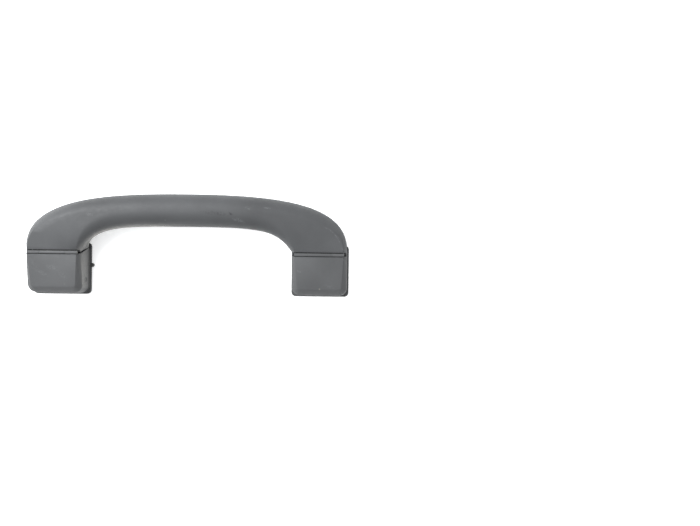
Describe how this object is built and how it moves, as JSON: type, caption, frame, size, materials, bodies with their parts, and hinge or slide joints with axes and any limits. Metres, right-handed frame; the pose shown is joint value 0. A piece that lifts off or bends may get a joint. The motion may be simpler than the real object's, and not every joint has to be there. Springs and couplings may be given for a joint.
{
  "type": "grab handle",
  "caption": "Rigid arched vehicle grab handle in matte charcoal plastic, with a hinged screw cover on each foot.",
  "frame": {"origin": "midway between the axes of the two fixing holes, on the mounting plane (the back plates' rear faces)", "axes": "+X along the handle's length, +Y from the feet towards the arch of the grip, +Z out of the mounting plane towards the user; drawn lying on its back"},
  "size_m": [0.2444, 0.0767, 0.0299],
  "materials": {
    "grip_plastic": "matte charcoal, fine moulded grain",
    "cover_plastic": "matte charcoal, fine moulded grain",
    "plate_plastic": "matte charcoal, plain moulded",
    "block_nylon": "satin charcoal glass-filled nylon",
    "steel": "plain steel, lightly oiled",
    "zinc_plate": "yellow-tinted zinc plate"
  },
  "bodies": {
    "handle": {"grip_front_shell": "grip_plastic", "grip_rear_shell": "grip_plastic", "grip_core": "steel", "shell_screws": "zinc_plate", "core_pins": "steel", "foot_block_left": "block_nylon", "foot_block_right": "block_nylon", "back_plate_left": "plate_plastic", "back_plate_right": "plate_plastic", "plate_sleeve_left": "zinc_plate", "plate_sleeve_right": "zinc_plate", "plate_screws": "zinc_plate", "cover_hinge_pin_left": "steel", "cover_hinge_pin_right": "steel"},
    "cover_left": {"screw_cover_left": "cover_plastic"},
    "cover_right": {"screw_cover_right": "cover_plastic"},
    "screw_left": {"mounting_screw_left": "zinc_plate", "screw_washer_left": "zinc_plate"},
    "screw_right": {"mounting_screw_right": "zinc_plate", "screw_washer_right": "zinc_plate"}
  },
  "joints": [
    {"name": "cover_left_hinge", "type": "hinge", "parent": "handle", "child": "cover_left", "pos_m": [-0.1, 0.0152, 0.0212], "axis": [-1, 0, 0], "range_deg": [0, 95]},
    {"name": "cover_right_hinge", "type": "hinge", "parent": "handle", "child": "cover_right", "pos_m": [0.1, 0.0152, 0.0212], "axis": [-1, 0, 0], "range_deg": [0, 95]},
    {"name": "screw_left_drive", "type": "slide", "parent": "handle", "child": "screw_left", "axis": [0, 0, -1], "range_m": [0, 0.0076]},
    {"name": "screw_right_drive", "type": "slide", "parent": "handle", "child": "screw_right", "axis": [0, 0, -1], "range_m": [0, 0.0076]}
  ]
}
